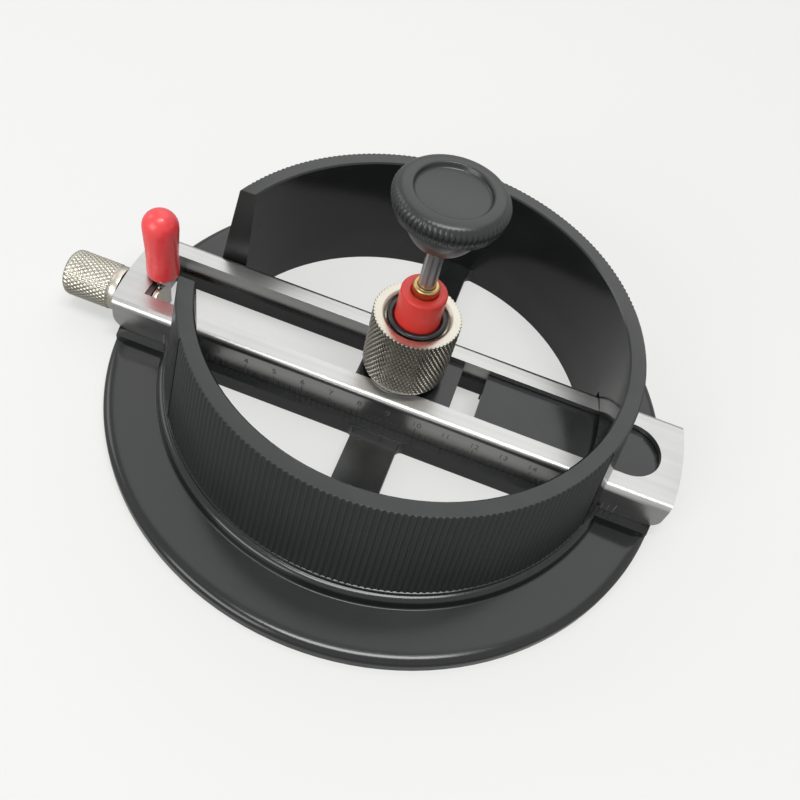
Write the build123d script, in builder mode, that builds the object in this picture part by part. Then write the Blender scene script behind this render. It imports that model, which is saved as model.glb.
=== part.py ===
"""Circle cutter with a ring grip: a plastic ring that stands on the sheet, a steel rail that slides
across it with the blade at its left end, and a sprung needle in the middle that holds the centre.

Millimetres. Z = 0 is the underside, the origin lies on the needle's axis, and +X runs along the rail
away from the blade.
"""
import math
import os

from build123d import *

os.makedirs("parts", exist_ok=True)

# Clearances that all the pieces share
sliding_gap = 0.05
turning_gap = 0.06
fixed_gap = 0.03
overrun = 1.0

# Ring wall, drafted on both faces, with a shallow recess for the grip ribs at the front and the rear
ring_bore_radius = 34.3
ring_bore_draft = 0.5
wall_height = 23.6
wall_top_thickness = 2.7
wall_foot_thickness = 4.6
wall_edge_chamfer = 0.25
grip_depth = 0.3
grip_bottom = 5.0
grip_front_start = -143.5
grip_front_sweep = 121.5
grip_rear_start = 27.0
grip_rear_sweep = 132.0

# Flange, from the wall's foot outwards: a narrow ledge, a steep step, a flat and the raised rim
flange_width = 9.5
wall_foot_above_ledge = 0.5
ledge_start = 0.1
ledge_width = 0.5
ledge_height = 4.2
step_draft = 0.25
step_fillet = 0.5
flat_height = 2.2
rim_width = 2.2
rim_slope_width = 0.9
flange_rim_height = 2.4
flange_rim_rounding = 1.1
flange_foot_rounding = 0.5

# Rail, and the passage that lets it through the ring
rail_width = 18.0
rail_height = 6.25
rail_sheet = 1.0
rail_bend_radius = 1.2
rail_overhang = 0.7
rail_corner_radius = 2.5
slot_half_width = 5.3
slot_square_margin = 4.8
slot_round_margin = 3.7
passage_side_gap = 0.3
passage_roof_gap = 0.3
mouth_spread = 1.6

# Beds under the rail, hub block and tongue
bed_margin = 1.7
bed_overlap = 0.5
bed_height = 3.1
bed_setback = 0.2
hub_start = -6.8
hub_end = 9.7
hub_side_gap = 0.2
hub_roof_gap = 0.05
tongue_gap = 4.4
tongue_roof_gap = 0.2
tongue_wall = 1.6

# Spokes and the four windows between them
spoke_half_width = 4.0
spoke_height = 3.0
window_bed_fillet = 1.0
window_ring_fillet = 1.0
window_tip_fillet = 1.5

# Stem, sleeve and what the sleeve holds
stem_radius = 4.4
stem_top = 20.7
stem_flange_radius = 6.0
stem_flange_thickness = 0.9
stem_recess_depth = 1.6
sleeve_radius = 3.66
sleeve_bottom = 1.0
sleeve_top = 27.5
sleeve_edge_rounding = 0.5
chuck_bore_radius = 2.4
spring_floor = 13.0
spring_floor_thickness = 0.8
ring_cord_radius = 0.58
collar_radius = 2.1
collar_bottom = 25.5
collar_top = 28.9
collar_chamfer = 0.25
clip_thickness = 0.4
clip_opening_half_angle = 35.0
thrust_washer_thickness = 0.4
spring_wire = 0.4

# Needle shaft, knob, chuck and needle
shaft_radius = 1.36
shaft_bottom = 9.3
groove_depth = 0.26
groove_play = 0.04
chuck_radius = 2.0
chuck_bottom = 6.8
chuck_top = 11.5
chuck_nose_chamfer = 0.5
needle_radius = 0.55
needle_tip = 2.0
needle_point_length = 2.2
needle_top = 9.0
knob_radius = 8.3
knob_top = 47.0
knob_height = 8.5
knob_boss_radius = 4.4
knob_shoulder_radius = 7.5
knob_rim_height = 3.7
knob_rim_taper = 0.45
knob_rim_rounding = 1.2
knob_dish_radius = 5.6
knob_dish_depth = 0.8
knob_dish_rounding = 0.5
knob_socket_roof = 2.0

# Clamp nut and its washer
clamp_washer_radius = 6.6
clamp_washer_thickness = 0.5
clamp_nut_radius = 7.1
clamp_nut_top = 22.0
clamp_nut_chamfer = 0.4
thread_gap = 0.1
counterbore_radius = 5.2
counterbore_floor = 19.8
counterbore_chamfer = 0.35

# Blade clamp at the rail's left end
stud_offset = -3.2
stud_height = 5.8
stud_radius = 1.0
stud_end_play = 0.6
disc_radius = 3.1
disc_thickness = 0.7
block_setback = 0.3
block_lead = 0.5
thumb_washer_radius = 3.9
thumb_washer_thickness = 1.3
thumb_nut_radius = 4.0
thumb_nut_length = 8.4
thumb_nut_rounding = 0.9
thumb_nut_floor = 1.4

# Blade and its cap
blade_thickness = 0.4
blade_half_width = 1.9
blade_bottom = 1.0
blade_tip = 20.0
blade_slant = 3.0
cap_radius = 2.95
cap_wall = 0.8
cap_bottom = 9.9
cap_top = 23.4
cap_roof = 1.2
cap_rounding = 2.5

# Places worked out from the sizes above
wall_bore_top_radius = ring_bore_radius - ring_bore_draft
wall_top_radius = wall_bore_top_radius + wall_top_thickness
wall_foot_radius = ring_bore_radius + wall_foot_thickness
wall_foot_height = ledge_height + wall_foot_above_ledge
wall_middle_radius = (ring_bore_radius + wall_foot_radius) / 2
wall_slope = (wall_foot_radius - wall_top_radius) / (wall_height - wall_foot_height)
grip_top = wall_height + overrun
grip_bottom_radius = wall_top_radius + wall_slope * (wall_height - grip_bottom) - grip_depth
grip_top_radius = wall_top_radius - wall_slope * overrun - grip_depth
ledge_radius = wall_foot_radius + ledge_start + ledge_width
step_radius = ledge_radius + step_draft
flange_radius = wall_foot_radius + flange_width
rim_start = flange_radius - rim_width
bed_end_radius = flange_radius - bed_setback
rail_bottom = bed_height + sliding_gap
rail_top = rail_bottom + rail_height
rail_half_width = rail_width / 2
rail_end_radius = flange_radius + rail_overhang
slot_square_end = slot_square_margin - rail_end_radius
slot_round_end = rail_end_radius - slot_round_margin
block_end_radius = rail_end_radius - block_setback
passage_half_width = rail_half_width + passage_side_gap
passage_roof = rail_top + passage_roof_gap
hub_half_width = rail_half_width - rail_sheet - hub_side_gap
bed_inner = hub_half_width - bed_overlap
bed_outer = rail_half_width + bed_margin
hub_top = rail_top - rail_sheet - hub_roof_gap
tongue_start = hub_end + tongue_gap
tongue_top = rail_top - rail_sheet - tongue_roof_gap
stem_bore = sleeve_radius + fixed_gap
clip_top = collar_bottom - turning_gap
clip_bottom = clip_top - clip_thickness
thrust_washer_top = clip_bottom - sliding_gap
thrust_washer_bottom = thrust_washer_top - thrust_washer_thickness
knob_bottom = knob_top - knob_height
knob_rim_bottom = knob_top - knob_rim_height
knob_socket_top = knob_top - knob_socket_roof
washer_bottom = rail_top + sliding_gap
washer_top = washer_bottom + clamp_washer_thickness
nut_bottom = washer_top + sliding_gap
block_face = slot_square_end + block_lead
blade_left = block_face + sliding_gap
blade_right = blade_left + blade_thickness
blade_middle = (blade_left + blade_right) / 2
disc_face = blade_right + sliding_gap
thumb_washer_right = -rail_end_radius - sliding_gap
thumb_washer_left = thumb_washer_right - thumb_washer_thickness
thumb_nut_right = thumb_washer_left - sliding_gap
thumb_nut_left = thumb_nut_right - thumb_nut_length
stud_bore = stud_radius + turning_gap
stud_end = thumb_nut_left + thumb_nut_floor + stud_end_play


# Base moulding: the flange and the ring wall, turned about the needle's axis
with BuildPart() as base_ring:
    with BuildSketch(Plane.XZ) as ring_section:
        with BuildLine():
            Polyline(
                (step_radius, flat_height),
                (rim_start, flat_height),
                (rim_start + rim_slope_width, flange_rim_height),
                (flange_radius, flange_rim_height),
                (flange_radius, 0),
                (ring_bore_radius, 0),
                (wall_bore_top_radius, wall_height),
                (wall_top_radius, wall_height),
                (wall_foot_radius, wall_foot_height),
                (wall_foot_radius + ledge_start, ledge_height),
                (ledge_radius, ledge_height),
                close=True,
            )
        make_face()
        step_corner = ring_section.vertices().sort_by_distance((step_radius, flat_height))[0]
        fillet(step_corner, step_fillet)
        rim_corners = ring_section.vertices().group_by(Axis.X)[-1].sort_by(Axis.Y)
        fillet(rim_corners[-1], flange_rim_rounding)
        chamfer(rim_corners[0], flange_foot_rounding)
        chamfer(ring_section.vertices().group_by(Axis.Y)[-1], wall_edge_chamfer)
    revolve(axis=Axis.Z)

    # Shallow recesses that the grip ribs stand in, open at the wall's top
    for start, sweep in ((grip_front_start, grip_front_sweep), (grip_rear_start, grip_rear_sweep)):
        with BuildSketch(Plane.XZ.rotated((0, 0, start))):
            with BuildLine():
                Polyline(
                    (grip_bottom_radius, grip_bottom),
                    (grip_bottom_radius + overrun, grip_bottom),
                    (grip_top_radius + overrun, grip_top),
                    (grip_top_radius, grip_top),
                    close=True,
                )
            make_face()
        revolve(axis=Axis.Z, revolution_arc=sweep, mode=Mode.SUBTRACT)

    # Floor with the two spokes: a disc less four rounded windows
    with BuildSketch():
        Circle(wall_middle_radius)
        with BuildSketch(mode=Mode.PRIVATE) as windows:
            with BuildLine():
                window_tip = math.sqrt(ring_bore_radius**2 - bed_outer**2)
                window_side = math.sqrt(ring_bore_radius**2 - spoke_half_width**2)
                Line((spoke_half_width, window_side), (spoke_half_width, bed_outer))
                Line((spoke_half_width, bed_outer), (window_tip, bed_outer))
                RadiusArc(
                    (window_tip, bed_outer), (spoke_half_width, window_side), -ring_bore_radius
                )
            make_face()
            fillet(windows.vertices().sort_by(Axis.X)[-1], window_tip_fillet)
            fillet(windows.vertices().sort_by(Axis.Y)[-1], window_ring_fillet)
            fillet(
                windows.vertices().sort_by_distance((spoke_half_width, bed_outer))[0],
                window_bed_fillet,
            )
            mirror(about=Plane.YZ)
            mirror(about=Plane.XZ)
        add(windows.sketch, mode=Mode.SUBTRACT)
    extrude(amount=spoke_height)

    # Beds that the rail lies on, out to the flange's edge
    with BuildSketch():
        Circle(bed_end_radius)
        Rectangle(2 * flange_radius, 2 * bed_outer, mode=Mode.INTERSECT)
    extrude(amount=bed_height)

    # Passage for the rail through the wall, and the open channel between the beds
    with BuildSketch(Plane.XY.offset(bed_height)):
        Rectangle(2 * (flange_radius + overrun), 2 * passage_half_width)
    extrude(amount=passage_roof - bed_height, mode=Mode.SUBTRACT)
    with BuildSketch(Plane.XY.offset(-overrun)):
        Rectangle(2 * (flange_radius + overrun), 2 * bed_inner)
    extrude(amount=bed_height + 2 * overrun, mode=Mode.SUBTRACT)

    # Mouth in the wall on the blade's side, wider towards the top
    with BuildSketch(Plane.YZ) as mouth_section:
        mouth_height = wall_height + overrun - bed_height
        mouth_top = passage_half_width + mouth_spread * mouth_height / (wall_height - bed_height)
        with BuildLine():
            Polyline(
                (passage_half_width, bed_height),
                (mouth_top, wall_height + overrun),
                (-mouth_top, wall_height + overrun),
                (-passage_half_width, bed_height),
                close=True,
            )
        make_face()
    extrude(amount=-(flange_radius + overrun), mode=Mode.SUBTRACT)

    # Hub block and the tongue that fills the rail's right half
    with BuildSketch():
        with Locations(((hub_start + hub_end) / 2, 0)):
            Rectangle(hub_end - hub_start, 2 * hub_half_width)
    extrude(amount=hub_top)
    with BuildSketch():
        Circle(bed_end_radius)
        with Locations((tongue_start, 0)):
            Rectangle(
                flange_radius,
                2 * hub_half_width,
                align=(Align.MIN, Align.CENTER),
                mode=Mode.INTERSECT,
            )
    extrude(amount=tongue_top)
    with BuildSketch(Plane.YZ.offset(tongue_start - overrun)):
        Rectangle(
            2 * (hub_half_width - tongue_wall),
            tongue_top - tongue_wall,
            align=(Align.CENTER, Align.MIN),
        )
    extrude(amount=flange_radius, mode=Mode.SUBTRACT)

    # Bore for the stem, with a recess for the stem's flange below
    Hole(stem_radius + fixed_gap)
    with BuildSketch():
        Circle(stem_flange_radius + fixed_gap)
    extrude(amount=stem_recess_depth, mode=Mode.SUBTRACT)
base_ring.part.label = "base_ring"
export_step(base_ring.part, "parts/base_ring.step")


# Threaded stem: a tube with a flange that bears against the hub from below
with BuildPart() as threaded_stem:
    with BuildSketch(Plane.XY.offset(stem_recess_depth - stem_flange_thickness)):
        Circle(stem_flange_radius)
        Circle(stem_bore, mode=Mode.SUBTRACT)
    extrude(amount=stem_flange_thickness)
    with BuildSketch(Plane.XY.offset(stem_recess_depth)):
        Circle(stem_radius)
        Circle(stem_bore, mode=Mode.SUBTRACT)
    extrude(amount=stem_top - stem_recess_depth)
    chamfer(
        threaded_stem.edges().group_by(Axis.Z)[-1].sort_by(SortBy.RADIUS)[-1],
        (stem_radius - stem_bore) / 2,
    )
threaded_stem.part.label = "threaded_stem"
export_step(threaded_stem.part, "parts/threaded_stem.step")


# Needle sleeve: bored from both ends, with a web between that the spring stands on
with BuildPart() as needle_sleeve:
    with BuildSketch(Plane.XZ):
        with BuildLine():
            web_bottom = spring_floor - spring_floor_thickness
            Polyline(
                (sleeve_radius, sleeve_bottom),
                (chuck_bore_radius, sleeve_bottom),
                (chuck_bore_radius, web_bottom),
                (shaft_radius + turning_gap, web_bottom),
                (shaft_radius + turning_gap, spring_floor),
                (collar_radius + fixed_gap, spring_floor),
                (collar_radius + fixed_gap, sleeve_top),
                (sleeve_radius - sleeve_edge_rounding, sleeve_top),
            )
            RadiusArc(
                (sleeve_radius - sleeve_edge_rounding, sleeve_top),
                (sleeve_radius, sleeve_top - sleeve_edge_rounding),
                sleeve_edge_rounding,
            )
            Line((sleeve_radius, sleeve_top - sleeve_edge_rounding), (sleeve_radius, sleeve_bottom))
        make_face()
    revolve(axis=Axis.Z)
needle_sleeve.part.label = "needle_sleeve"
export_step(needle_sleeve.part, "parts/needle_sleeve.step")


# Rubber ring above the stem, under which the clamp nut's thread stops
ring_cord_middle = sleeve_radius + fixed_gap + ring_cord_radius
with BuildPart() as o_ring:
    with BuildSketch(Plane.XZ):
        with Locations((ring_cord_middle, stem_top + fixed_gap + ring_cord_radius)):
            Circle(ring_cord_radius)
    revolve(axis=Axis.Z)
o_ring.part.label = "o_ring"
export_step(o_ring.part, "parts/o_ring.step")


# Brass collar that guides the shaft
with BuildPart() as bearing_collar:
    with BuildSketch(Plane.XY.offset(collar_bottom)):
        Circle(collar_radius)
        Circle(shaft_radius + turning_gap, mode=Mode.SUBTRACT)
    extrude(amount=collar_top - collar_bottom)
    chamfer(
        bearing_collar.edges().group_by(Axis.Z)[-1].sort_by(SortBy.RADIUS)[-1], collar_chamfer
    )
bearing_collar.part.label = "bearing_collar"
export_step(bearing_collar.part, "parts/bearing_collar.step")


# Space of the hidden return spring, round the shaft and inside the sleeve
spring_outer = (shaft_radius + collar_radius) / 2 + spring_wire / 2
with BuildPart() as return_spring:
    with BuildSketch(Plane.XY.offset(spring_floor)):
        Circle(spring_outer)
        Circle(spring_outer - spring_wire, mode=Mode.SUBTRACT)
    extrude(amount=thrust_washer_bottom - sliding_gap - spring_floor)
return_spring.part.label = "return_spring"
export_step(return_spring.part, "parts/return_spring.step")


# Rail: a pressed channel with rounded bends, arc-shaped ends and one long slot
with BuildPart() as rail:
    with BuildSketch(Plane.YZ.offset(-rail_end_radius)) as rail_section:
        with Locations((0, rail_bottom)):
            Rectangle(rail_width, rail_top - rail_bottom, align=(Align.CENTER, Align.MIN))
        fillet(rail_section.vertices().group_by(Axis.Y)[-1], rail_bend_radius)
        with BuildSketch(mode=Mode.PRIVATE) as rail_inside:
            with Locations((0, rail_bottom - overrun)):
                Rectangle(
                    rail_width - 2 * rail_sheet,
                    rail_top - rail_sheet - rail_bottom + overrun,
                    align=(Align.CENTER, Align.MIN),
                )
            fillet(rail_inside.vertices().group_by(Axis.Y)[-1], rail_bend_radius - rail_sheet)
        add(rail_inside.sketch, mode=Mode.SUBTRACT)
    extrude(amount=2 * rail_end_radius)
    with BuildSketch(Plane.XY.offset(rail_bottom - overrun)):
        Circle(rail_end_radius)
    extrude(amount=rail_top - rail_bottom + 2 * overrun, mode=Mode.INTERSECT)
    fillet(
        rail.edges().group_by(Axis.Z)[0].filter_by(GeomType.CIRCLE), rail_corner_radius
    )
    with BuildSketch(Plane.XY.offset(rail_top - rail_sheet - overrun)):
        slot_round_middle = slot_round_end - slot_half_width
        with Locations((slot_round_middle, 0)):
            Circle(slot_half_width)
            Rectangle(
                slot_round_middle - slot_square_end,
                2 * slot_half_width,
                align=(Align.MAX, Align.CENTER),
            )
    extrude(amount=rail_sheet + 2 * overrun, mode=Mode.SUBTRACT)
rail.part.label = "rail"
export_step(rail.part, "parts/rail.step")


# End block inside the rail, which the blade is clamped against
with BuildPart() as end_block:
    with BuildSketch(Plane.XY.offset(rail_bottom + fixed_gap)):
        Circle(block_end_radius)
        with Locations((block_face, 0)):
            Rectangle(
                block_end_radius,
                rail_width - 2 * (rail_sheet + fixed_gap),
                align=(Align.MAX, Align.CENTER),
                mode=Mode.INTERSECT,
            )
    extrude(amount=rail_top - rail_sheet - rail_bottom - 2 * fixed_gap)
    fillet(
        end_block.edges().group_by(Axis.Z)[-1].filter_by(Axis.X), rail_bend_radius - rail_sheet
    )
    with BuildSketch(Plane.YZ.offset(block_face)):
        with Locations((stud_offset, stud_height)):
            Circle(stud_bore)
    extrude(amount=-block_end_radius, mode=Mode.SUBTRACT)
end_block.part.label = "end_block"
export_step(end_block.part, "parts/end_block.step")


# Washer between the rail's end and the thumb nut
with BuildPart() as thumb_washer:
    with BuildSketch(Plane.YZ.offset(thumb_washer_right)):
        with Locations((stud_offset, stud_height)):
            Circle(thumb_washer_radius)
            Circle(stud_bore, mode=Mode.SUBTRACT)
    extrude(amount=-thumb_washer_thickness)
thumb_washer.part.label = "thumb_washer"
export_step(thumb_washer.part, "parts/thumb_washer.step")


# Clamp stud: its disc presses the blade against the end block
with BuildPart() as clamp_stud:
    with BuildSketch(Plane.YZ.offset(disc_face)):
        with Locations((stud_offset, stud_height)):
            Circle(disc_radius)
    extrude(amount=disc_thickness)
    with BuildSketch(Plane.YZ.offset(disc_face)):
        with Locations((stud_offset, stud_height)):
            Circle(stud_radius)
    extrude(amount=stud_end - disc_face)
clamp_stud.part.label = "clamp_stud"
export_step(clamp_stud.part, "parts/clamp_stud.step")


# Thumb nut, bored from the rail's side only
with BuildPart() as thumb_nut:
    with BuildSketch(Plane.YZ.offset(thumb_nut_right)):
        with Locations((stud_offset, stud_height)):
            Circle(thumb_nut_radius)
    extrude(amount=-thumb_nut_length)
    fillet(thumb_nut.edges().group_by(Axis.X)[0], thumb_nut_rounding)
    chamfer(thumb_nut.edges().group_by(Axis.X)[-1], clamp_nut_chamfer / 2)
    with BuildSketch(Plane.YZ.offset(thumb_nut_right)):
        with Locations((stud_offset, stud_height)):
            Circle(stud_bore)
    extrude(amount=thumb_nut_floor - thumb_nut_length, mode=Mode.SUBTRACT)
thumb_nut.part.label = "thumb_nut"
export_step(thumb_nut.part, "parts/thumb_nut.step")


# Blade, stored with its point up
with BuildPart() as blade:
    with BuildSketch(Plane.YZ.offset(blade_left)):
        with BuildLine():
            Polyline(
                (-blade_half_width, blade_bottom),
                (blade_half_width, blade_bottom),
                (blade_half_width, blade_tip - blade_slant),
                (-blade_half_width, blade_tip),
                close=True,
            )
        make_face()
    extrude(amount=blade_thickness)
blade.part.label = "blade"
export_step(blade.part, "parts/blade.step")


# Soft cap over the blade's point, with a domed end
with BuildPart() as blade_cap:
    with BuildSketch(Plane.XY.offset(cap_bottom)):
        with Locations((blade_middle, 0)):
            Circle(cap_radius)
    extrude(amount=cap_top - cap_bottom)
    fillet(blade_cap.edges().group_by(Axis.Z)[-1], cap_rounding)
    with BuildSketch(Plane.XY.offset(cap_bottom)):
        with Locations((blade_middle, 0)):
            Circle(cap_radius - cap_wall)
    extrude(amount=cap_top - cap_roof - cap_bottom, mode=Mode.SUBTRACT)
blade_cap.part.label = "blade_cap"
export_step(blade_cap.part, "parts/blade_cap.step")


# Washer that the clamp nut presses on the rail
with BuildPart() as clamp_washer:
    with BuildSketch(Plane.XY.offset(washer_bottom)):
        Circle(clamp_washer_radius)
        Circle(stem_radius + thread_gap, mode=Mode.SUBTRACT)
    extrude(amount=clamp_washer_thickness)
clamp_washer.part.label = "clamp_washer"
export_step(clamp_washer.part, "parts/clamp_washer.step")


# Clamp nut, counterbored at the top for the rubber ring
with BuildPart() as clamp_nut:
    with BuildSketch(Plane.XZ):
        with BuildLine():
            Polyline(
                (stem_radius + thread_gap, nut_bottom),
                (clamp_nut_radius - clamp_nut_chamfer, nut_bottom),
                (clamp_nut_radius, nut_bottom + clamp_nut_chamfer),
                (clamp_nut_radius, clamp_nut_top - clamp_nut_chamfer),
                (clamp_nut_radius - clamp_nut_chamfer, clamp_nut_top),
                (counterbore_radius + counterbore_chamfer, clamp_nut_top),
                (counterbore_radius, clamp_nut_top - counterbore_chamfer),
                (counterbore_radius, counterbore_floor),
                (stem_radius + thread_gap, counterbore_floor),
                close=True,
            )
        make_face()
    revolve(axis=Axis.Z)
clamp_nut.part.label = "clamp_nut"
export_step(clamp_nut.part, "parts/clamp_nut.step")


# Washer that the return spring pushes against the clip
with BuildPart() as thrust_washer:
    with BuildSketch(Plane.XY.offset(thrust_washer_bottom)):
        Circle(collar_radius - turning_gap)
        Circle(shaft_radius + turning_gap, mode=Mode.SUBTRACT)
    extrude(amount=thrust_washer_thickness)
thrust_washer.part.label = "thrust_washer"
export_step(thrust_washer.part, "parts/thrust_washer.step")


# Clip in the shaft's groove, open on one side
clip_inner = shaft_radius - groove_depth + fixed_gap
with BuildPart() as retaining_clip:
    with BuildSketch(Plane.XY.offset(clip_bottom)):
        Circle(collar_radius - turning_gap)
        Circle(clip_inner, mode=Mode.SUBTRACT)
        with BuildLine():
            clip_reach = 2 * collar_radius
            clip_spread = clip_reach * math.tan(math.radians(clip_opening_half_angle))
            Polyline((0, 0), (clip_reach, clip_spread), (clip_reach, -clip_spread), close=True)
        make_face(mode=Mode.SUBTRACT)
    extrude(amount=clip_thickness)
retaining_clip.part.label = "retaining_clip"
export_step(retaining_clip.part, "parts/retaining_clip.step")


# Needle shaft with the clip's groove
with BuildPart() as needle_shaft:
    with BuildSketch(Plane.XY.offset(shaft_bottom)):
        Circle(shaft_radius)
    extrude(amount=knob_socket_top - fixed_gap - shaft_bottom)
    with BuildSketch(Plane.XY.offset(clip_bottom - groove_play)):
        Circle(shaft_radius + overrun)
        Circle(shaft_radius - groove_depth, mode=Mode.SUBTRACT)
    extrude(amount=clip_thickness + 2 * groove_play, mode=Mode.SUBTRACT)
needle_shaft.part.label = "needle_shaft"
export_step(needle_shaft.part, "parts/needle_shaft.step")


# Knob: a wide rim on a boss, with a dished top
with BuildPart() as knob:
    with BuildSketch(Plane.XZ):
        with BuildLine():
            Polyline(
                (knob_boss_radius, knob_bottom),
                (0, knob_bottom),
                (0, knob_top - knob_dish_depth),
                (knob_dish_radius - knob_dish_rounding, knob_top - knob_dish_depth),
            )
            RadiusArc(
                (knob_dish_radius - knob_dish_rounding, knob_top - knob_dish_depth),
                (knob_dish_radius, knob_top - knob_dish_depth + knob_dish_rounding),
                -knob_dish_rounding,
            )
            Polyline(
                (knob_dish_radius, knob_top - knob_dish_depth + knob_dish_rounding),
                (knob_dish_radius, knob_top),
                (knob_radius - knob_rim_rounding, knob_top),
            )
            RadiusArc(
                (knob_radius - knob_rim_rounding, knob_top),
                (knob_radius, knob_top - knob_rim_rounding),
                knob_rim_rounding,
            )
            Polyline(
                (knob_radius, knob_top - knob_rim_rounding),
                (knob_radius - knob_rim_taper, knob_rim_bottom),
                (knob_shoulder_radius, knob_rim_bottom),
            )
            TangentArc(
                (knob_shoulder_radius, knob_rim_bottom),
                (knob_boss_radius, knob_bottom),
                tangent=(-knob_shoulder_radius / 4, -knob_shoulder_radius),
            )
        make_face()
    revolve(axis=Axis.Z)
    with BuildSketch(Plane.XY.offset(knob_bottom)):
        Circle(shaft_radius + fixed_gap)
    extrude(amount=knob_socket_top - knob_bottom, mode=Mode.SUBTRACT)
knob.part.label = "knob"
export_step(knob.part, "parts/knob.step")


# Chuck on the shaft's lower end
with BuildPart() as needle_chuck:
    with BuildSketch(Plane.XY.offset(chuck_bottom)):
        Circle(chuck_radius)
    extrude(amount=chuck_top - chuck_bottom)
    chamfer(needle_chuck.edges().group_by(Axis.Z)[0], chuck_nose_chamfer)
    with BuildSketch(Plane.XY.offset(chuck_bottom)):
        Circle(needle_radius + fixed_gap)
    extrude(amount=needle_top + fixed_gap - chuck_bottom, mode=Mode.SUBTRACT)
    with BuildSketch(Plane.XY.offset(shaft_bottom - fixed_gap)):
        Circle(shaft_radius + fixed_gap)
    extrude(amount=chuck_top - shaft_bottom + 2 * fixed_gap, mode=Mode.SUBTRACT)
needle_chuck.part.label = "needle_chuck"
export_step(needle_chuck.part, "parts/needle_chuck.step")


# Needle with its point above the sheet
with BuildPart() as needle:
    with BuildSketch(Plane.XZ):
        with BuildLine():
            Polyline(
                (0, needle_tip),
                (needle_radius, needle_tip + needle_point_length),
                (needle_radius, needle_top),
                (0, needle_top),
                close=True,
            )
        make_face()
    revolve(axis=Axis.Z)
needle.part.label = "needle"
export_step(needle.part, "parts/needle.step")
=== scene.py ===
import math

import bmesh
import bpy
from mathutils import Matrix, Quaternion, Vector


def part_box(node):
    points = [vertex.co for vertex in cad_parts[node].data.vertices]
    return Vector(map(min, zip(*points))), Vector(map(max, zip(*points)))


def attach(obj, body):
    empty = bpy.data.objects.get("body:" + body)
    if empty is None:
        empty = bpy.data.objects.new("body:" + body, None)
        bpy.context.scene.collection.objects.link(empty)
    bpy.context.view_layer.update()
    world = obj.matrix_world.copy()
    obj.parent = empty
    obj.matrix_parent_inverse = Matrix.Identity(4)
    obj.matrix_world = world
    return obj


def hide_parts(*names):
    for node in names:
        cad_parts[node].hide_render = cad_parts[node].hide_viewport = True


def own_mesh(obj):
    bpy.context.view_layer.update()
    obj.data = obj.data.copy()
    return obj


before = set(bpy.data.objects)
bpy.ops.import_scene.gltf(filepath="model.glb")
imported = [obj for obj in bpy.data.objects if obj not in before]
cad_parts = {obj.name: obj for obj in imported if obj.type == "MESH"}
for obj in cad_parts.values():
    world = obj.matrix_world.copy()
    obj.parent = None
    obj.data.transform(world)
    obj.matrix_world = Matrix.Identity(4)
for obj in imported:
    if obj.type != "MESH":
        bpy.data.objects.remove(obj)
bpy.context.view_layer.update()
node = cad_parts
mm = 0.001


# Camera, set where the photograph was taken from: above the ring's front, looking a little to the
# left of the rail's normal, and leaning 17 degrees.
look = Vector((-0.048188, 0.604787, -0.794928))
lean = 16.94
camera = bpy.data.objects.new("photo_camera", bpy.data.cameras.new("photo_camera"))
camera.data.lens = 38.1
camera.data.sensor_width = 36.0
camera.data.clip_start = 0.005
camera.location = Vector((8.400, -90.301, 118.448)) * mm
camera.rotation_mode = "QUATERNION"
camera.rotation_quaternion = look.to_track_quat("-Z", "Y") @ Quaternion((0, 0, 1), math.radians(lean))
bpy.context.scene.collection.objects.link(camera)
bpy.context.scene.camera = camera
bpy.context.scene.view_settings.view_transform = "Standard"


# Floor, world and lamps: a pale table top under the ring, lit by a long ceiling lamp, a bright wall
# behind, and windows at the left and in front. The table shows darker in reflections than to the
# eye, so that the black plastic stays black.
def add_node(tree, kind, values=None, **settings):
    """A value is a number for the socket, or another node's output to link to it."""
    new = tree.nodes.new("ShaderNode" + kind)
    for key, value in settings.items():
        setattr(new, key, value)
    for socket, value in (values or {}).items():
        if isinstance(value, bpy.types.NodeSocket):
            tree.links.new(value, new.inputs[socket])
        else:
            new.inputs[socket].default_value = value
    return new


def new_material(name, values=None):
    material = bpy.data.materials.new(name)
    material.use_nodes = True
    shader = material.node_tree.nodes["Principled BSDF"]
    for socket, value in (values or {}).items():
        shader.inputs[socket].default_value = value
    return material, material.node_tree, shader


table_half_width = 3.0
table_mesh = bmesh.new()
bmesh.ops.create_grid(table_mesh, x_segments=1, y_segments=1, size=table_half_width)
floor = bpy.data.objects.new("floor", bpy.data.meshes.new("floor"))
table_mesh.to_mesh(floor.data)
table_mesh.free()
bpy.context.scene.collection.objects.link(floor)
pale_table, tree, shader = new_material("pale_table", {
    "Base Color": (0.80, 0.80, 0.79, 1), "Roughness": 0.85, "Specular IOR Level": 0.2})
ray = add_node(tree, "LightPath")
strength = add_node(tree, "MapRange", {"Value": ray.outputs["Is Camera Ray"],
                                       "To Min": 0.38, "To Max": 1.0})
glow = add_node(tree, "Emission", {"Color": (0.96, 0.96, 0.945, 1), "Strength": strength.outputs[0]})
seen_share = add_node(tree, "Math", {0: ray.outputs["Is Camera Ray"], 1: 0.5}, operation="MULTIPLY")
glow_share = add_node(tree, "Math", {0: ray.outputs["Is Glossy Ray"], 1: 0.8,
                                     2: seen_share.outputs[0]}, operation="MULTIPLY_ADD")
blend = add_node(tree, "MixShader", {0: glow_share.outputs[0], 1: shader.outputs[0],
                                     2: glow.outputs[0]})
tree.links.new(blend.outputs[0], tree.nodes["Material Output"].inputs["Surface"])
floor.data.materials.append(pale_table)

world = bpy.data.worlds.new("studio")
bpy.context.scene.world = world
world.use_nodes = True
tree = world.node_tree
backdrop = tree.nodes["Background"]
backdrop.inputs["Color"].default_value = (0.92, 0.92, 0.915, 1)
ray = add_node(tree, "LightPath")
seen = add_node(tree, "Math", {0: ray.outputs["Is Camera Ray"], 1: ray.outputs["Is Glossy Ray"]},
                operation="MAXIMUM")
strength = add_node(tree, "MapRange", {"Value": seen.outputs[0], "To Min": 0.36, "To Max": 0.80})
tree.links.new(strength.outputs[0], backdrop.inputs["Strength"])


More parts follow.
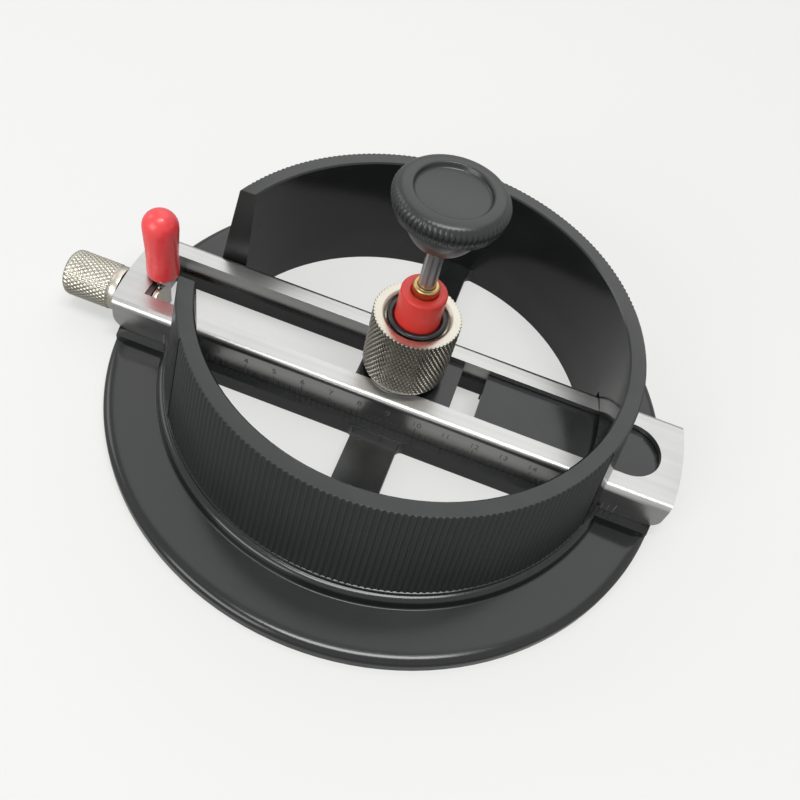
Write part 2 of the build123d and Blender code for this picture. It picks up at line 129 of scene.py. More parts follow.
def soft_lamp(name, place, aim, length, width, power, turn=0):
    lamp = bpy.data.objects.new(name, bpy.data.lights.new(name, "AREA"))
    lamp.data.shape = "RECTANGLE"
    lamp.data.size = length
    lamp.data.size_y = width
    lamp.data.energy = power
    lamp.location = place
    lamp.rotation_mode = "QUATERNION"
    facing = (Vector(aim) - Vector(place)).to_track_quat("-Z", "Y")
    lamp.rotation_quaternion = facing @ Quaternion((0, 0, 1), math.radians(turn))
    bpy.context.scene.collection.objects.link(lamp)


soft_lamp("ceiling_lamp", (0.065, -0.10, 0.80), (0.065, -0.10, 0), 0.46, 0.20, power=3.1, turn=35)
soft_lamp("bright_wall", (-0.05, 0.72, 0.88), (0, 0, 0.01), 1.10, 1.00, power=2.9)
soft_lamp("side_window", (-0.62, 0.10, 0.42), (0, 0, 0.01), 0.30, 0.30, power=0.5)
soft_lamp("front_window", (-0.36, -0.62, 0.34), (0, 0, 0.02), 0.45, 0.40, power=2.2)


# Base moulding: black plastic with a fine satin grain, moulded in one piece with the flange,
# spokes, beds, hub block and tongue. Its edges are rounded as a mould leaves them, a little rubbed
# and with specks of dust.
def new_group(name, inputs, outputs):
    group = bpy.data.node_groups.new(name, "ShaderNodeTree")
    for label, default in inputs:
        socket = group.interface.new_socket(label, in_out="INPUT", socket_type="NodeSocketFloat")
        socket.default_value = default
    for label in outputs:
        group.interface.new_socket(label, in_out="OUTPUT", socket_type="NodeSocketFloat")
    start = group.nodes.new("NodeGroupInput")
    end = group.nodes.new("NodeGroupOutput")
    return group, start, end


grain_group, start, end = new_group(
    "moulding_grain", (("Scale", 6500.0), ("Cloud Scale", 90.0)), ("Height", "Cloud"))
place = add_node(grain_group, "TexCoord").outputs["Object"]
pits = add_node(grain_group, "TexNoise", {"Vector": place, "Scale": start.outputs["Scale"],
                                          "Detail": 2.0, "Roughness": 0.6})
cloud = add_node(grain_group, "TexNoise", {"Vector": place, "Scale": start.outputs["Cloud Scale"],
                                           "Detail": 4.0, "Roughness": 0.6})
grain_group.links.new(pits.outputs["Fac"], end.inputs["Height"])
grain_group.links.new(cloud.outputs["Fac"], end.inputs["Cloud"])

wear_group, start, end = new_group(
    "dust_and_wear", (("Edge From", 0.53), ("Edge To", 0.62), ("Speck Size", 0.10)), ("Edge", "Dust"))
place = add_node(wear_group, "TexCoord").outputs["Object"]
shape = add_node(wear_group, "NewGeometry")
rub = add_node(wear_group, "MapRange", {"Value": shape.outputs["Pointiness"],
                                        "From Min": start.outputs["Edge From"],
                                        "From Max": start.outputs["Edge To"]})
patch = add_node(wear_group, "TexNoise", {"Vector": place, "Scale": 260.0, "Detail": 3.0})
edge = add_node(wear_group, "Math", {0: rub.outputs[0], 1: patch.outputs["Fac"]}, operation="MULTIPLY")
cell = add_node(wear_group, "TexVoronoi", {"Vector": place, "Scale": 330.0})
few = add_node(wear_group, "Math", {0: cell.outputs["Color"], 1: 0.93}, operation="GREATER_THAN")
near = add_node(wear_group, "Math", {0: cell.outputs["Distance"], 1: start.outputs["Speck Size"]},
                operation="LESS_THAN")
speck = add_node(wear_group, "Math", {0: few.outputs[0], 1: near.outputs[0]}, operation="MULTIPLY")
wear_group.links.new(edge.outputs[0], end.inputs["Edge"])
wear_group.links.new(speck.outputs[0], end.inputs["Dust"])


def use_group(tree, group, values=None):
    new = tree.nodes.new("ShaderNodeGroup")
    new.node_tree = group
    for socket, value in (values or {}).items():
        new.inputs[socket].default_value = value
    return new


def tone(tree, fac, dark, light, low=0.3, high=0.7):
    ramp = add_node(tree, "ValToRGB", {"Fac": fac})
    ramp.color_ramp.elements[0].position = low
    ramp.color_ramp.elements[0].color = (*dark, 1)
    ramp.color_ramp.elements[1].position = high
    ramp.color_ramp.elements[1].color = (*light, 1)
    return ramp.outputs["Color"]


def spread(tree, fac, low, high):
    return add_node(tree, "MapRange", {"Value": fac, "From Min": 0.3, "From Max": 0.7,
                                       "To Min": low, "To Max": high}).outputs[0]


def relief(tree, height, strength, distance):
    values = {"Height": height, "Strength": strength, "Distance": distance}
    return add_node(tree, "Bump", values).outputs["Normal"]


def finish(tree, shader, colour, roughness, normal=None):
    tree.links.new(colour, shader.inputs["Base Color"])
    tree.links.new(roughness, shader.inputs["Roughness"])
    if normal is not None:
        tree.links.new(normal, shader.inputs["Normal"])


def moulded_plastic(name, dark, light, grain, rough_low, rough_high, depth=0.12):
    material, tree, shader = new_material(name, {"IOR": 1.53})
    skin = use_group(tree, grain_group, {"Scale": grain})
    wear = use_group(tree, wear_group)
    ground = tone(tree, skin.outputs["Cloud"], dark, light, 0.25, 0.75)
    rubbed = add_node(tree, "Mix", {"Factor": wear.outputs["Edge"], "A": ground,
                                    "B": (0.024, 0.026, 0.026, 1)}, data_type="RGBA")
    specked = add_node(tree, "Mix", {"Factor": wear.outputs["Dust"], "A": rubbed.outputs["Result"],
                                     "B": (0.45, 0.45, 0.44, 1)}, data_type="RGBA")
    finish(tree, shader, specked.outputs["Result"],
           spread(tree, skin.outputs["Cloud"], rough_low, rough_high),
           relief(tree, skin.outputs["Height"], depth, 0.00003))
    return material, tree, shader


smooth_group = bpy.data.node_groups.new("smooth_by_angle", "GeometryNodeTree")
smooth_group.interface.new_socket("Geometry", in_out="INPUT", socket_type="NodeSocketGeometry")
smooth_group.interface.new_socket("Geometry", in_out="OUTPUT", socket_type="NodeSocketGeometry")
start = smooth_group.nodes.new("NodeGroupInput")
end = smooth_group.nodes.new("NodeGroupOutput")
angle = smooth_group.nodes.new("GeometryNodeInputMeshEdgeAngle")
gentle = smooth_group.nodes.new("FunctionNodeCompare")
gentle.operation = "LESS_THAN"
gentle.inputs["B"].default_value = math.radians(32)
faces = smooth_group.nodes.new("GeometryNodeSetShadeSmooth")
edges = smooth_group.nodes.new("GeometryNodeSetShadeSmooth")
edges.domain = "EDGE"
smooth_group.links.new(start.outputs[0], faces.inputs[0])
smooth_group.links.new(faces.outputs[0], edges.inputs[0])
smooth_group.links.new(angle.outputs["Unsigned Angle"], gentle.inputs["A"])
smooth_group.links.new(gentle.outputs[0], edges.inputs["Shade Smooth"])
smooth_group.links.new(edges.outputs[0], end.inputs[0])


def round_edges(name, width, segments=2):
    piece = node[name]
    weld = piece.modifiers.new("weld", "WELD")
    weld.merge_threshold = 0.000002
    bevel = piece.modifiers.new("edges", "BEVEL")
    bevel.width = width * mm
    bevel.segments = segments
    bevel.limit_method = "ANGLE"
    bevel.angle_limit = math.radians(28)
    bevel.use_clamp_overlap = True
    smooth = piece.modifiers.new("smooth", "NODES")
    smooth.node_group = smooth_group
    weight = piece.modifiers.new("flats", "WEIGHTED_NORMAL")
    weight.mode = "FACE_AREA"
    weight.keep_sharp = True
    return piece


def dress(piece, material):
    piece.data.materials.clear()
    piece.data.materials.append(material)


black_plastic, tree, shader = moulded_plastic(
    "black_plastic", (0.0090, 0.0102, 0.0102), (0.0118, 0.0130, 0.0128), 5200.0, 0.15, 0.19)
dress(round_edges("base_ring", 0.22), black_plastic)

# The wall's two ends, on both sides of the rail's mouth, are duller than the rest of the moulding.
end_roughness = 0.42
satin = shader.inputs["Roughness"].links[0].from_socket
place = add_node(tree, "SeparateXYZ", {0: add_node(tree, "TexCoord").outputs["Object"]})
far_left = add_node(tree, "MapRange", {"Value": place.outputs["X"],
                                       "From Min": -0.030, "From Max": -0.034})
above_ledge = add_node(tree, "MapRange", {"Value": place.outputs["Z"],
                                          "From Min": 0.0052, "From Max": 0.0062})
ends = add_node(tree, "Math", {0: far_left.outputs[0], 1: above_ledge.outputs[0]},
                operation="MULTIPLY")
dull = add_node(tree, "Mix", {"Factor": ends.outputs[0], "A": satin, "B": end_roughness})
tree.links.new(dull.outputs[0], shader.inputs["Roughness"])


# Grip ribs: fine upright beads moulded in two shallow recesses of the ring wall, at the front and
# at the rear, so that their crests lie flush with the smooth wall between.
def finished(bm, name, body, material, smooth_angle=32.0):
    """Makes a bmesh that is drawn in millimetres a piece of the object, in metres."""
    bmesh.ops.scale(bm, vec=(mm, mm, mm), verts=bm.verts)
    bmesh.ops.remove_doubles(bm, verts=bm.verts, dist=0.0000005)
    bmesh.ops.recalc_face_normals(bm, faces=bm.faces)
    for face in bm.faces:
        face.smooth = True
    mesh = bpy.data.meshes.new(name)
    bm.to_mesh(mesh)
    bm.free()
    mesh.set_sharp_from_angle(angle=math.radians(smooth_angle))
    piece = bpy.data.objects.new(name, mesh)
    bpy.context.scene.collection.objects.link(piece)
    dress(piece, material)
    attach(piece, body)
    return piece


# The ribs are moulded with the base, but their plastic is drawn about twice as light as the base's:
# painted light that brightens the ring wall.
rib_plastic_painted_light, tree, shader = moulded_plastic(
    "rib_plastic_painted_light", (0.0190, 0.0212, 0.0216), (0.0235, 0.0258, 0.0262), 5200.0, 0.40, 0.46, 0.2)
shader.inputs["Specular IOR Level"].default_value = 0.35
wall_foot, wall_top = 4.7, 23.6
wall_foot_radius, wall_top_radius = 38.9, 36.5
wall_lean = (wall_foot_radius - wall_top_radius) / (wall_top - wall_foot)
crest_inset = 0.02
rib_depth = 0.28
rib_backing = 0.35
rib_rows = (5.0, 5.12, 5.3, 6.0, 12.0, 18.0, 23.1, 23.35, 23.47, 23.55, 23.595, 23.615)
rib_sink = (1.0, 0.45, 0.12, 0.0, 0.0, 0.0, 0.0, 0.0, 0.06, 0.22, 0.5, 1.0)


def grip_band(name, first_angle, sweep, ribs):
    steps = 8
    columns, rows = ribs * steps, len(rib_rows) - 1
    bm = bmesh.new()
    bmesh.ops.create_grid(bm, x_segments=columns, y_segments=rows, size=1.0)
    for vert in bm.verts:
        column = round((vert.co.x + 1) / 2 * columns)
        row = round((vert.co.y + 1) / 2 * rows)
        bead = (0.5 - 0.5 * math.cos(math.tau * column / steps)) ** 0.8
        drop = rib_depth * (1 - bead * (1 - rib_sink[row]))
        height = rib_rows[row]
        radius = wall_top_radius - crest_inset + wall_lean * (wall_top - height) - drop
        turn = math.radians(first_angle + column / columns * sweep)
        vert.co = (radius * math.cos(turn), radius * math.sin(turn), height)
    bmesh.ops.solidify(bm, geom=bm.faces, thickness=rib_backing)
    finished(bm, name, "base", rib_plastic_painted_light, 60.0)


grip_band("grip_ribs_front", first_angle=-143.5, sweep=121.5, ribs=84)
grip_band("grip_ribs_rear", first_angle=27.0, sweep=132.0, ribs=91)


# Flange surface: the moulding's top from the ribs' feet over the ledge and the flat to the rim,
# laid over the solid so that its shoulders are evenly rounded. It is full on the open flange, and
# towards the rail's beds it settles down on to the solid.
flange_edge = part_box("base_ring")[1].y / mm
bed_side = 10.0
settling = 22
skin_thickness = 0.2
full_profile = [
    (38.55, 5.015), (38.74, 5.01), (38.87, 4.93), (38.90, 4.62), (38.92, 4.47), (38.97, 4.43),
    (39.1, 4.41), (39.22, 4.386), (39.34, 4.35), (39.45, 4.305), (39.56, 4.245), (39.66, 4.17),
    (39.76, 4.07), (39.86, 3.93), (39.94, 3.75), (40.0, 3.5), (40.08, 3.1), (40.16, 2.66),
    (40.24, 2.525), (40.4, 2.517), (45.9, 2.515), (46.5, 2.512), (46.85, 2.498), (47.2, 2.468),
    (47.33, 2.445), (47.45, 2.42), (47.57, 2.388), (47.68, 2.35)]
settled_profile = [
    (38.55, 5.015), (38.74, 5.01), (38.87, 4.93), (38.92, 4.6), (38.98, 4.3), (39.1, 4.215),
    (39.2, 4.215), (39.3, 4.21), (39.4, 4.18), (39.48, 4.1), (39.515, 3.95), (39.54, 3.7),
    (39.58, 3.4), (39.63, 3.0), (39.68, 2.8), (39.75, 2.66), (39.85, 2.5), (40.0, 2.34),
    (40.16, 2.25), (40.45, 2.215), (45.9, 2.215), (46.3, 2.235), (46.7, 2.315), (47.0, 2.39),
    (47.2, 2.415), (47.45, 2.406), (47.57, 2.388), (47.68, 2.35)]
rim_round = 1.115
rim_round_radius, rim_round_level = 47.3, 1.3
rim_turn = [(min(flange_edge, rim_round_radius + rim_round * math.sin(math.radians(a))),
             rim_round_level + rim_round * math.cos(math.radians(a))) for a in range(26, 91, 8)]
rim_turn += [(flange_edge, 0.9)]


def flange_arc(name, side):
    columns = 240
    rows = len(full_profile) + len(rim_turn) - 1
    bm = bmesh.new()
    bmesh.ops.create_grid(bm, x_segments=columns, y_segments=rows, size=1.0)
    for vert in bm.verts:
        row = round((vert.co.y + 1) / 2 * rows)
        share = (vert.co.x + 1) / 2
        rise = min(1.0, settling * min(share, 1 - share))
        rise = rise * rise * (3 - 2 * rise)
        if row < len(full_profile):
            radius = settled_profile[row][0] + (full_profile[row][0] - settled_profile[row][0]) * rise
            height = settled_profile[row][1] + (full_profile[row][1] - settled_profile[row][1]) * rise
        else:
            radius, height = rim_turn[row - len(full_profile)]
        first = math.asin(bed_side / radius)
        turn = first + share * (math.pi - 2 * first)
        vert.co = (radius * math.cos(turn), side * radius * math.sin(turn), height)
    bmesh.ops.recalc_face_normals(bm, faces=bm.faces)
    bmesh.ops.solidify(bm, geom=bm.faces, thickness=skin_thickness)
    finished(bm, name, "base", black_plastic, 60.0)


flange_arc("flange_surface_front", -1)
flange_arc("flange_surface_rear", 1)


# Rail: stainless sheet pressed to a channel, brushed along its length, with rounded bends and one
# long slot. It slides through the passage under the ring's hub block and washer. The end block and
# the clamp washer have the same finish.
brush_group, start, end = new_group(
    "brushed_lines", (("Along", 35.0), ("Across", 5200.0)), ("Height", "Streak", "Smudge"))
place = add_node(brush_group, "TexCoord").outputs["Object"]
stretch = add_node(brush_group, "CombineXYZ", {0: start.outputs["Along"], 1: start.outputs["Across"],
                                               2: start.outputs["Across"]})
lines = add_node(brush_group, "VectorMath", {0: place, 1: stretch.outputs[0]}, operation="MULTIPLY")
fine = add_node(brush_group, "TexNoise", {"Vector": lines.outputs[0], "Scale": 1.0, "Detail": 3.0,
                                          "Roughness": 0.65})
broad = add_node(brush_group, "TexNoise", {"Vector": lines.outputs[0], "Scale": 0.22, "Detail": 2.0})
smudge = add_node(brush_group, "TexNoise", {"Vector": place, "Scale": 120.0, "Detail": 4.0,
                                            "Roughness": 0.6})
brush_group.links.new(fine.outputs["Fac"], end.inputs["Height"])
brush_group.links.new(broad.outputs["Fac"], end.inputs["Streak"])
brush_group.links.new(smudge.outputs["Fac"], end.inputs["Smudge"])

brushed_steel, tree, shader = new_material("brushed_steel", {"Metallic": 1.0})
lines = use_group(tree, brush_group)
finish(tree, shader,
       tone(tree, lines.outputs["Streak"], (0.475, 0.477, 0.468), (0.515, 0.517, 0.508)),
       spread(tree, lines.outputs["Smudge"], 0.29, 0.36),
       relief(tree, lines.outputs["Height"], 0.07, 0.00002))
dress(round_edges("rail", 0.12), brushed_steel)
dress(round_edges("end_block", 0.15), brushed_steel)
dress(round_edges("clamp_washer", 0.1), brushed_steel)


# Scale: dark marks and figures on the rail's front face, a tick for each millimetre of radius and
# the diameter in centimetres at each fifth one. One more tick stands alone near the rail's left end.
scale_ink, tree, shader = new_material("scale_ink")
skin = use_group(tree, grain_group, {"Scale": 3000.0})
finish(tree, shader,
       tone(tree, skin.outputs["Cloud"], (0.16, 0.155, 0.15), (0.24, 0.235, 0.225)),
       spread(tree, skin.outputs["Height"], 0.6, 0.75))
rail_low, rail_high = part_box("rail")
face_y = rail_low.y / mm
face_foot = rail_low.z / mm
ink_height = 0.03
pointer_reading = 44.3
lone_tick, first_tick, last_tick = 5.2, 10, 85
tenth_tick, fifth_tick, plain_tick = 2.6, 2.1, 1.4
tick_width = 0.16
tick_lift = 0.15
figure_size = 1.7
figure_lift = 3.15
bm = bmesh.new()
for tick in (lone_tick, *range(first_tick, last_tick + 1)):
    tall = plain_tick
    if tick % 5 == 0 or tick == lone_tick:
        tall = fifth_tick
    if tick % 10 == 0:
        tall = tenth_tick
    made = bmesh.ops.create_cube(bm, size=1.0)["verts"]
    bmesh.ops.scale(bm, vec=(tick_width, 2 * ink_height, tall), verts=made)
    bmesh.ops.translate(bm, vec=(tick - pointer_reading, face_y, face_foot + tick_lift + tall / 2),
                        verts=made)
finished(bm, "scale_ticks", "rail", scale_ink)
for diameter in range(2, 17):
    words = bpy.data.curves.new("figure", "FONT")
    words.body = str(diameter)
    words.size = figure_size
    words.align_x = "CENTER"
    words.extrude = ink_height
    flat = bpy.data.objects.new("figure", words)
    bpy.context.scene.collection.objects.link(flat)
    bpy.context.view_layer.update()
    figure_mesh = bpy.data.meshes.new_from_object(flat)
    bpy.data.objects.remove(flat)
    bm = bmesh.new()
    bm.from_mesh(figure_mesh)
    bmesh.ops.rotate(bm, verts=bm.verts, cent=(0, 0, 0), matrix=Matrix.Rotation(math.pi / 2, 3, "X"))
    bmesh.ops.translate(bm, vec=(diameter * 5 - pointer_reading, face_y, face_foot + figure_lift),
                        verts=bm.verts)
    finished(bm, f"scale_figure_{diameter}", "rail", scale_ink)


# Pointer: the raised outline of a small box on the front spoke, moulded with the ring. It stands
# beside the scale at the needle's place.
spoke_top = 3.0
box_width, box_side = 1.8, 2.6
box_front, box_middle, box_rear = -14.9, -13.55, -12.2
front_line, thin_line, outline_height = 0.14, 0.10, 0.05
bm = bmesh.new()
for across, along, middle_x, middle_y in (
        (box_width, front_line, 0.0, box_front), (box_width, thin_line, 0.0, box_rear),
        (thin_line, box_side, -box_width / 2, box_middle),
        (thin_line, box_side, box_width / 2, box_middle)):
    made = bmesh.ops.create_cube(bm, size=1.0)["verts"]
    bmesh.ops.scale(bm, vec=(across, along, outline_height), verts=made)
    bmesh.ops.translate(bm, vec=(middle_x, middle_y, spoke_top), verts=made)
finished(bm, "spoke_pointer", "base", black_plastic)


# Clamp nut: turned and nickel-plated, diamond knurled between two plain chamfered ends, and
# counterbored for the rubber ring. Its knurl is cut by two sets of helical grooves, and its colour
# is drawn darker towards the grooves' bottoms.
def turned(profile, steps, centre_x=0):
    """Spins a profile of radius and height, in millimetres, round an upright line."""
    bm = bmesh.new()
    loop = [bm.verts.new((radius, 0, height)) for radius, height in profile]
    edges = [bm.edges.new((loop[i], loop[i + 1])) for i in range(len(loop) - 1)]
    if profile[0][0] > 0 or profile[-1][0] > 0:
        edges.append(bm.edges.new((loop[-1], loop[0])))
    bmesh.ops.spin(bm, geom=loop + edges, cent=(0, 0, 0), axis=(0, 0, 1), angle=math.tau,
                   steps=steps, use_merge=True)
    bmesh.ops.remove_doubles(bm, verts=bm.verts, dist=0.0001)
    bmesh.ops.recalc_face_normals(bm, faces=bm.faces)
    bmesh.ops.translate(bm, vec=(centre_x, 0, 0), verts=bm.verts)
    return bm


def knurl(bm, radius, threads, lead, depth):
    groove = bm.verts.layers.float.new("groove")
    for vert in bm.verts:
        out = math.hypot(vert.co.x, vert.co.y)
        turn = math.atan2(vert.co.y, vert.co.x) / math.tau * threads
        rise = vert.co.z / lead
        cut = 1.0
        for thread in (turn + rise, turn - rise):
            share = thread - math.floor(thread)
            cut = min(cut, 2.8 * min(share, 1 - share))
        cut_radius = radius - depth * (1 - cut)
        if out > cut_radius:
            vert[groove] = 1 - cut
            vert.co.x *= cut_radius / out
            vert.co.y *= cut_radius / out


plated_nickel, tree, shader = new_material("plated_nickel", {"Metallic": 1.0})
skin = use_group(tree, grain_group, {"Scale": 2500.0, "Cloud Scale": 220.0})
bright = tone(tree, skin.outputs["Cloud"], (0.53, 0.505, 0.43), (0.62, 0.595, 0.515))
# The nickel's colour is mixed towards a dark brown the deeper a point lies in the knurl's grooves.
groove = add_node(tree, "Attribute", attribute_name="groove")
groove_darkening = add_node(tree, "MapRange", {"Value": groove.outputs["Fac"], "From Min": 0.35, "From Max": 1.0,
                                    "To Max": 0.85})
darker_in_grooves = add_node(tree, "Mix", {"Factor": groove_darkening.outputs[0], "A": bright,
                                "B": (0.12, 0.105, 0.085, 1)}, data_type="RGBA")
finish(tree, shader, darker_in_grooves.outputs["Result"],
       spread(tree, skin.outputs["Cloud"], 0.24, 0.36),
       relief(tree, skin.outputs["Height"], 0.12, 0.00002))
nut_low, nut_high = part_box("clamp_nut")
nut_foot, nut_top = nut_low.z / mm, nut_high.z / mm
nut_radius = nut_high.x / mm
nut_bore = 4.5
nut_threads = 62
nut_rows = 76
foot_chamfer, top_chamfer = 0.35, 0.2
knurled_height = nut_top - nut_foot - foot_chamfer - top_chamfer
counterbore_radius, counterbore_foot = 5.2, 19.8
profile = [(nut_bore, nut_foot), (nut_radius - foot_chamfer, nut_foot),
           (nut_radius, nut_foot + foot_chamfer)]
profile += [(nut_radius, nut_foot + foot_chamfer + knurled_height * row / nut_rows)
            for row in range(1, nut_rows)]
profile += [(nut_radius, nut_top - top_chamfer), (nut_radius - 0.04, nut_top - 0.06),
            (nut_radius - 0.1, nut_top), (6.4, nut_top), (5.75, nut_top), (5.5, nut_top - 0.08),
            (counterbore_radius, nut_top - 0.4), (counterbore_radius, counterbore_foot),
            (nut_bore, counterbore_foot)]
bm = turned(profile, steps=nut_threads * 6)
knurl(bm, nut_radius, nut_threads, lead=1.25, depth=0.24)
clamp_nut = finished(bm, "knurled_clamp_nut", "clamp_nut", plated_nickel, 40.0)
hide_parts("clamp_nut")


# Thumb nut at the rail's left end: a smaller knurled nut with a domed end, on the blade's stud. The
# stud, its washer and the threaded stem in the hub are plated like the nuts.
thumb_low, thumb_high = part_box("thumb_nut")
thumb_length = (thumb_high.x - thumb_low.x) / mm
thumb_radius = (thumb_high.z - thumb_low.z) / 2 / mm
thumb_y = (thumb_low.y + thumb_high.y) / 2 / mm
thumb_z = (thumb_low.z + thumb_high.z) / 2 / mm
thumb_bore, thumb_bore_depth = 1.06, 1.4
thumb_threads = 34
thumb_rows = 48
thumb_chamfer, thumb_dome = 0.3, 0.9
knurled_length = thumb_length - thumb_chamfer - thumb_dome
profile = [(thumb_bore, 0.0), (thumb_radius - thumb_chamfer, 0.0), (thumb_radius, thumb_chamfer)]
profile += [(thumb_radius, thumb_chamfer + knurled_length * row / thumb_rows)
            for row in range(1, thumb_rows)]
profile += [(thumb_radius, thumb_length - thumb_dome), (thumb_radius - 0.12, thumb_length - 0.45),
            (thumb_radius - 0.45, thumb_length - 0.12), (thumb_radius - 0.95, thumb_length),
            (1.5, thumb_length), (0, thumb_length - 0.05), (0, thumb_length - thumb_bore_depth),
            (thumb_bore, thumb_length - thumb_bore_depth)]
bm = turned(profile, steps=thumb_threads * 6)
knurl(bm, thumb_radius, thumb_threads, lead=1.15, depth=0.17)
bmesh.ops.rotate(bm, verts=bm.verts, cent=(0, 0, 0), matrix=Matrix.Rotation(-math.pi / 2, 3, "Y"))
bmesh.ops.translate(bm, vec=(thumb_high.x / mm, thumb_y, thumb_z), verts=bm.verts)
thumb_nut = finished(bm, "knurled_thumb_nut", "thumb_nut", plated_nickel, 40.0)
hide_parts("thumb_nut")
for name in ("threaded_stem", "thumb_washer", "clamp_stud"):
    dress(round_edges(name, 0.12), plated_nickel)


# Blade: a narrow strip of tool steel, ground across its length and clamped point up between the
# stud's head and the end block.
ground_steel, tree, shader = new_material("ground_steel", {"Metallic": 1.0})
lines = use_group(tree, brush_group, {"Along": 3800.0, "Across": 900.0})
finish(tree, shader,
       tone(tree, lines.outputs["Streak"], (0.46, 0.46, 0.46), (0.60, 0.60, 0.60)),
       spread(tree, lines.outputs["Smudge"], 0.18, 0.3),
       relief(tree, lines.outputs["Height"], 0.2, 0.00002))
dress(node["blade"], ground_steel)


# Blade cap: soft red vinyl, dipped to a domed tip and slightly waisted, pushed down over the
# blade's point.
dipped_vinyl, tree, shader = new_material("dipped_vinyl", {
    "Subsurface Weight": 0.12, "Subsurface Radius": (0.002, 0.0004, 0.0003),
    "Coat Weight": 0.35, "Coat Roughness": 0.12})
skin = use_group(tree, grain_group, {"Scale": 900.0, "Cloud Scale": 180.0})
finish(tree, shader,
       tone(tree, skin.outputs["Cloud"], (0.88, 0.050, 0.056), (0.94, 0.066, 0.072)),
       spread(tree, skin.outputs["Cloud"], 0.26, 0.36),
       relief(tree, skin.outputs["Cloud"], 0.3, 0.00012))
cap_low, cap_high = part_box("blade_cap")
cap_foot, cap_top = cap_low.z / mm, cap_high.z / mm
cap_radius = (cap_high.y - cap_low.y) / 2 / mm
cap_x = (cap_low.x + cap_high.x) / 2 / mm
cap_dome = 2.9
profile = [(cap_radius - 0.9, cap_foot + 0.05), (cap_radius - 0.6, cap_foot),
           (cap_radius - 0.36, cap_foot + 0.06), (cap_radius - 0.22, cap_foot + 0.3),
           (cap_radius - 0.2, cap_foot + 1.2), (cap_radius - 0.26, cap_foot + 3.4),
           (cap_radius - 0.2, cap_foot + 6.0), (cap_radius - 0.06, cap_top - 4.6),
           (cap_radius, cap_top - 3.4)]
profile += [(cap_radius * math.cos(math.radians(a)),
             cap_top - cap_dome * (1 - math.sin(math.radians(a)))) for a in range(8, 90, 9)]
profile += [(0, cap_top), (0, cap_top - 1.2), (cap_radius - 1.2, cap_top - 1.9),
            (cap_radius - 0.9, cap_top - 2.8)]
bm = turned(profile, steps=72, centre_x=cap_x)
cap = finished(bm, "dipped_cap", "blade_cap", dipped_vinyl, 50.0)
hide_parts("blade_cap")


# Needle sleeve: a red plastic tube pushed up through the nickel stem, a little translucent, with
# rounded shoulders.
red_plastic, tree, shader = new_material("red_plastic", {
    "Subsurface Weight": 0.35, "Subsurface Radius": (0.003, 0.0006, 0.0005)})
skin = use_group(tree, grain_group, {"Scale": 4500.0, "Cloud Scale": 260.0})
finish(tree, shader,
       tone(tree, skin.outputs["Cloud"], (0.97, 0.060, 0.050), (1.0, 0.072, 0.060)),
       spread(tree, skin.outputs["Cloud"], 0.28, 0.38),
       relief(tree, skin.outputs["Height"], 0.15, 0.00002))
dress(round_edges("needle_sleeve", 0.3, 4), red_plastic)


# Bearing collar and needle chuck: turned brass. The collar sits in the sleeve's top and guides the
# shaft, and the chuck holds the needle at the shaft's lower end.
turned_brass, tree, shader = new_material("turned_brass", {"Metallic": 1.0})
lines = use_group(tree, brush_group, {"Along": 900.0, "Across": 900.0})
finish(tree, shader,
       tone(tree, lines.outputs["Smudge"], (0.46, 0.30, 0.12), (0.58, 0.40, 0.18)),
       spread(tree, lines.outputs["Streak"], 0.22, 0.34))
dress(round_edges("bearing_collar", 0.1), turned_brass)
dress(round_edges("needle_chuck", 0.12), turned_brass)


# Rubber ring: a moulded black ring of round cord that lies in the nut's counterbore, round the red
# sleeve, and keeps the nut from coming off.
black_rubber, tree, shader = new_material("black_rubber")
skin = use_group(tree, grain_group, {"Scale": 3800.0, "Cloud Scale": 400.0})
finish(tree, shader,
       tone(tree, skin.outputs["Cloud"], (0.010, 0.010, 0.011), (0.020, 0.020, 0.021)),
       spread(tree, skin.outputs["Cloud"], 0.18, 0.30))
cord = 0.58
ring_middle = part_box("o_ring")[1].x / mm - cord
ring_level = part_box("o_ring")[0].z / mm + cord
profile = [(ring_middle + cord * math.cos(math.radians(a)),
            ring_level + cord * math.sin(math.radians(a))) for a in range(0, 360, 20)]
bm = turned(profile, steps=96)
o_ring = finished(bm, "rubber_ring", "base", black_rubber, 60.0)
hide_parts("o_ring")


# Return spring: steel wire wound round the needle shaft, hidden in the sleeve, which lifts the
# needle again. The thrust washer and the retaining clip on the shaft are of the same steel.
drawn_wire, tree, shader = new_material("drawn_wire", {"Metallic": 1.0})
lines = use_group(tree, brush_group, {"Along": 1500.0, "Across": 1500.0})
finish(tree, shader,
       tone(tree, lines.outputs["Smudge"], (0.34, 0.34, 0.35), (0.48, 0.48, 0.49)),
       spread(tree, lines.outputs["Streak"], 0.25, 0.38))
spring_low, spring_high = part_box("return_spring")
wire = 0.4
coil_radius = spring_high.x / mm - wire / 2
coil_foot, coil_top = spring_low.z / mm + wire / 2, spring_high.z / mm - wire / 2
coil_turns = 11
steps = coil_turns * 24
bm = bmesh.new()
made = bmesh.ops.create_circle(bm, segments=8, radius=wire / 2, cap_ends=True)["verts"]
bmesh.ops.rotate(bm, verts=made, cent=(0, 0, 0), matrix=Matrix.Rotation(math.pi / 2, 3, "X"))
bmesh.ops.translate(bm, verts=made, vec=(coil_radius, 0, coil_foot))
bmesh.ops.spin(bm, geom=bm.verts[:] + bm.edges[:] + bm.faces[:], cent=(0, 0, 0), axis=(0, 0, 1),
               dvec=(0, 0, (coil_top - coil_foot) / steps), angle=math.tau * coil_turns, steps=steps)
spring = finished(bm, "coil_spring", "base", drawn_wire, 60.0)
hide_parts("return_spring")
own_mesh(spring)
for name in ("thrust_washer", "retaining_clip"):
    dress(node[name], drawn_wire)


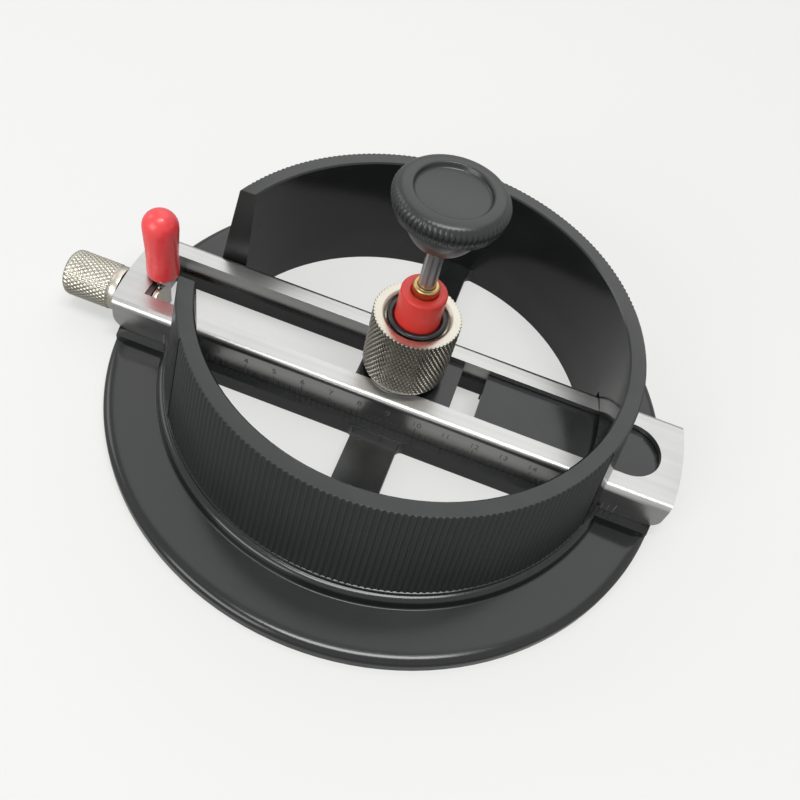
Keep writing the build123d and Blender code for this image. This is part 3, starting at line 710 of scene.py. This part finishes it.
# Needle shaft and needle: polished steel rod and a ground point, which turn and slide together in
# the brass collar.
polished_steel, tree, shader = new_material("polished_steel", {"Metallic": 1.0})
lines = use_group(tree, brush_group, {"Along": 2600.0, "Across": 2600.0})
finish(tree, shader,
       tone(tree, lines.outputs["Smudge"], (0.62, 0.62, 0.62), (0.70, 0.70, 0.70)),
       spread(tree, lines.outputs["Smudge"], 0.24, 0.34))
dress(round_edges("needle_shaft", 0.1), polished_steel)
dress(round_edges("needle", 0.03), polished_steel)


# Knob: black moulded plastic, a little greyer than the base, with a shallow dish in its top, a
# ribbed rim and a narrow neck. It is pressed on the shaft's upper end.
knob_plastic, tree, shader = moulded_plastic(
    "knob_plastic", (0.0185, 0.021, 0.021), (0.024, 0.0265, 0.0265), 4200.0, 0.27, 0.35)
knob_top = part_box("knob")[1].z / mm
knob_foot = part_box("knob")[0].z / mm
knob_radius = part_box("knob")[1].x / mm
dish = 5.5
dish_depth = 0.8
knob_bore, knob_bore_top = 1.4, 45.0
knob_ribs = 66
knob_rib_depth = 0.2
rib_fade = 0.45
rib_foot, rib_inner = knob_top - 2.75, knob_radius - 0.6
profile = [(0, knob_top - dish_depth), (dish - 0.5, knob_top - dish_depth),
           (dish - 0.22, knob_top - 0.72), (dish - 0.06, knob_top - 0.5), (dish, knob_top - 0.16),
           (dish + 0.14, knob_top - 0.02), (dish + 0.45, knob_top), (6.8, knob_top - 0.06),
           (knob_radius - 0.95, knob_top - 0.22), (knob_radius - 0.55, knob_top - 0.5),
           (knob_radius - 0.25, knob_top - 0.85), (knob_radius - 0.08, knob_top - 1.15),
           (knob_radius, knob_top - 1.5), (knob_radius - 0.06, knob_top - 2.1),
           (knob_radius - 0.16, knob_top - 2.7), (knob_radius - 0.34, knob_top - 2.8),
           (knob_radius - 0.42, knob_top - 3.4), (knob_radius - 0.5, knob_top - 3.62),
           (knob_radius - 0.68, knob_top - 3.7), (6.7, knob_top - 3.74), (6.35, knob_top - 3.9),
           (6.2, 42.3), (5.85, 41.2), (5.4, 40.2), (4.95, 39.4), (4.5, knob_foot + 0.25),
           (4.3, knob_foot), (knob_bore, knob_foot), (knob_bore, knob_bore_top), (0, knob_bore_top)]
bm = turned(profile, steps=knob_ribs * 6)
for vert in bm.verts:
    out = math.hypot(vert.co.x, vert.co.y)
    if out < rib_inner or vert.co.z < rib_foot:
        continue
    share = math.atan2(vert.co.y, vert.co.x) / math.tau * knob_ribs
    share -= math.floor(share)
    bead = math.sin(math.pi * share) ** 0.8
    fade = min(1.0, (out - rib_inner) / rib_fade)
    ribbed = out - knob_rib_depth * (1 - bead) * fade
    vert.co.x *= ribbed / out
    vert.co.y *= ribbed / out
knob = finished(bm, "ribbed_knob", "needle", knob_plastic, 45.0)
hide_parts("knob")
